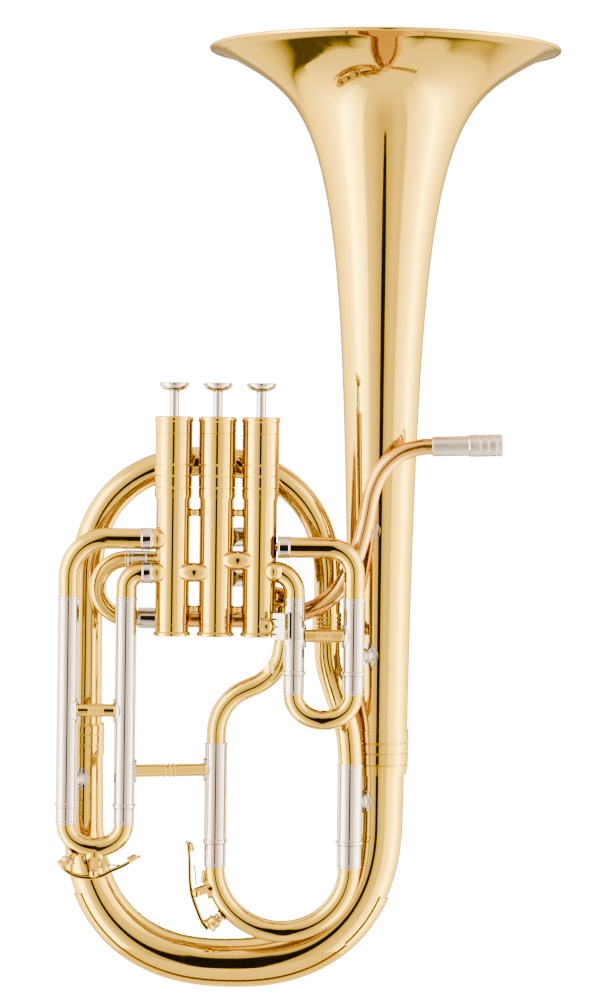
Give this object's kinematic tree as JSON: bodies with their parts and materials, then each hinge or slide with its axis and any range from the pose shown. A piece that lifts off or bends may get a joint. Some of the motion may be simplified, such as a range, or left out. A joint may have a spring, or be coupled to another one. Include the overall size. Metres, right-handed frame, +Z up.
{
  "type": "alto horn",
  "caption": "Upright valved brass horn with a flared bell, piston valves, tuning slides, water keys and a side leadpipe with a mouthpiece receiver.",
  "frame": {"origin": "on the bell's axis, at the lower edge of the ferrule between the bell and the bottom bow, where a hand or a stand holds the horn", "axes": "+Z up along the bell's axis towards its rim, -Y towards the side with the valves, +X towards the mouthpiece receiver"},
  "size_m": [0.2867, 0.205, 0.5471],
  "materials": {
    "brass": "polished and clear lacquered",
    "rose_brass": "polished and clear lacquered",
    "nickel": "polished nickel plate",
    "pearl": "pearly",
    "cork": "matte",
    "steel": "spring wire"
  },
  "bodies": {
    "horn": {"bell": "brass", "bell_ferrule": "brass", "bottom_bow": "brass", "bow_guard": "brass", "bow_ferrule": "brass", "branch_tube": "brass", "main_sleeve_left": "nickel", "main_sleeve_right": "nickel", "feed_tube": "brass", "mouthpiece_receiver": "nickel", "leadpipe": "rose_brass", "leadpipe_loop": "brass", "valve_casing_1": "brass", "valve_casing_2": "brass", "valve_casing_3": "brass", "top_cap_1": "brass", "top_cap_2": "brass", "top_cap_3": "brass", "bottom_cap_1": "brass", "bottom_cap_2": "brass", "bottom_cap_3": "brass", "crossover_12": "brass", "crossover_23": "brass", "valve_spring_1": "steel", "valve_spring_2": "steel", "valve_spring_3": "steel", "third_outer_upper": "brass", "third_outer_lower": "brass", "first_outer_upper": "brass", "first_outer_lower": "brass", "second_outer_upper": "nickel", "second_outer_lower": "nickel", "leadpipe_brace": "nickel", "first_bell_brace": "nickel", "main_bow_brace": "nickel", "third_bow_brace": "nickel", "third_legs_brace": "brass", "first_legs_brace": "brass", "long_brace": "brass", "lyre_socket": "nickel"},
    "valve_1": {"piston_1": "nickel", "stem_1": "nickel", "pearl_1": "pearl"},
    "valve_2": {"piston_2": "nickel", "stem_2": "nickel", "pearl_2": "pearl"},
    "valve_3": {"piston_3": "nickel", "stem_3": "nickel", "pearl_3": "pearl"},
    "first_slide_body": {"first_slide": "brass"},
    "second_slide_body": {"second_slide": "brass"},
    "third_slide_body": {"third_slide": "brass"},
    "main_slide_body": {"main_slide": "brass"},
    "third_key_body": {"third_water_key": "brass", "third_water_key_cork": "cork", "third_key_spring": "steel"},
    "main_key_body": {"main_water_key": "brass", "main_water_key_cork": "cork", "main_key_spring": "steel"},
    "lyre_screw_body": {"lyre_screw": "brass"}
  },
  "joints": [
    {"name": "valve_1_stroke", "type": "slide", "parent": "horn", "child": "valve_1", "axis": [0, 0, -1], "range_m": [0, 0.0142], "stiffness_N_per_m": 100, "springref_m": -0.03, "deforming": ["valve_spring_1"]},
    {"name": "valve_2_stroke", "type": "slide", "parent": "horn", "child": "valve_2", "axis": [0, 0, -1], "range_m": [0, 0.0142], "stiffness_N_per_m": 100, "springref_m": -0.03, "deforming": ["valve_spring_2"]},
    {"name": "valve_3_stroke", "type": "slide", "parent": "horn", "child": "valve_3", "axis": [0, 0, -1], "range_m": [0, 0.0142], "stiffness_N_per_m": 100, "springref_m": -0.03, "deforming": ["valve_spring_3"]},
    {"name": "first_slide_pull", "type": "slide", "parent": "horn", "child": "first_slide_body", "axis": [0, 0, -1], "range_m": [0, 0.03]},
    {"name": "second_slide_pull", "type": "slide", "parent": "horn", "child": "second_slide_body", "axis": [0.5736, 0.8192, 0], "range_m": [0, 0.012]},
    {"name": "third_slide_pull", "type": "slide", "parent": "horn", "child": "third_slide_body", "axis": [0, 0, -1], "range_m": [0, 0.08]},
    {"name": "main_slide_pull", "type": "slide", "parent": "horn", "child": "main_slide_body", "axis": [0, 0, -1], "range_m": [0, 0.035]},
    {"name": "third_key_hinge", "type": "hinge", "parent": "third_slide_body", "child": "third_key_body", "pos_m": [-0.1612, -0.04, -0.0539], "axis": [0, -1, 0], "range_deg": [0, 12], "stiffness_Nm_per_rad": 0.03, "springref_deg": -20.05},
    {"name": "main_key_hinge", "type": "hinge", "parent": "main_slide_body", "child": "main_key_body", "pos_m": [-0.10293, -0.0255, -0.06636], "axis": [0, 1, 0], "range_deg": [0, 12], "stiffness_Nm_per_rad": 0.03, "springref_deg": -20.05},
    {"name": "lyre_screw_turn", "type": "hinge", "parent": "horn", "child": "lyre_screw_body", "pos_m": [-0.0564, -0.0517, 0.0881], "axis": [-1, 0, 0], "continuous": true}
  ]
}
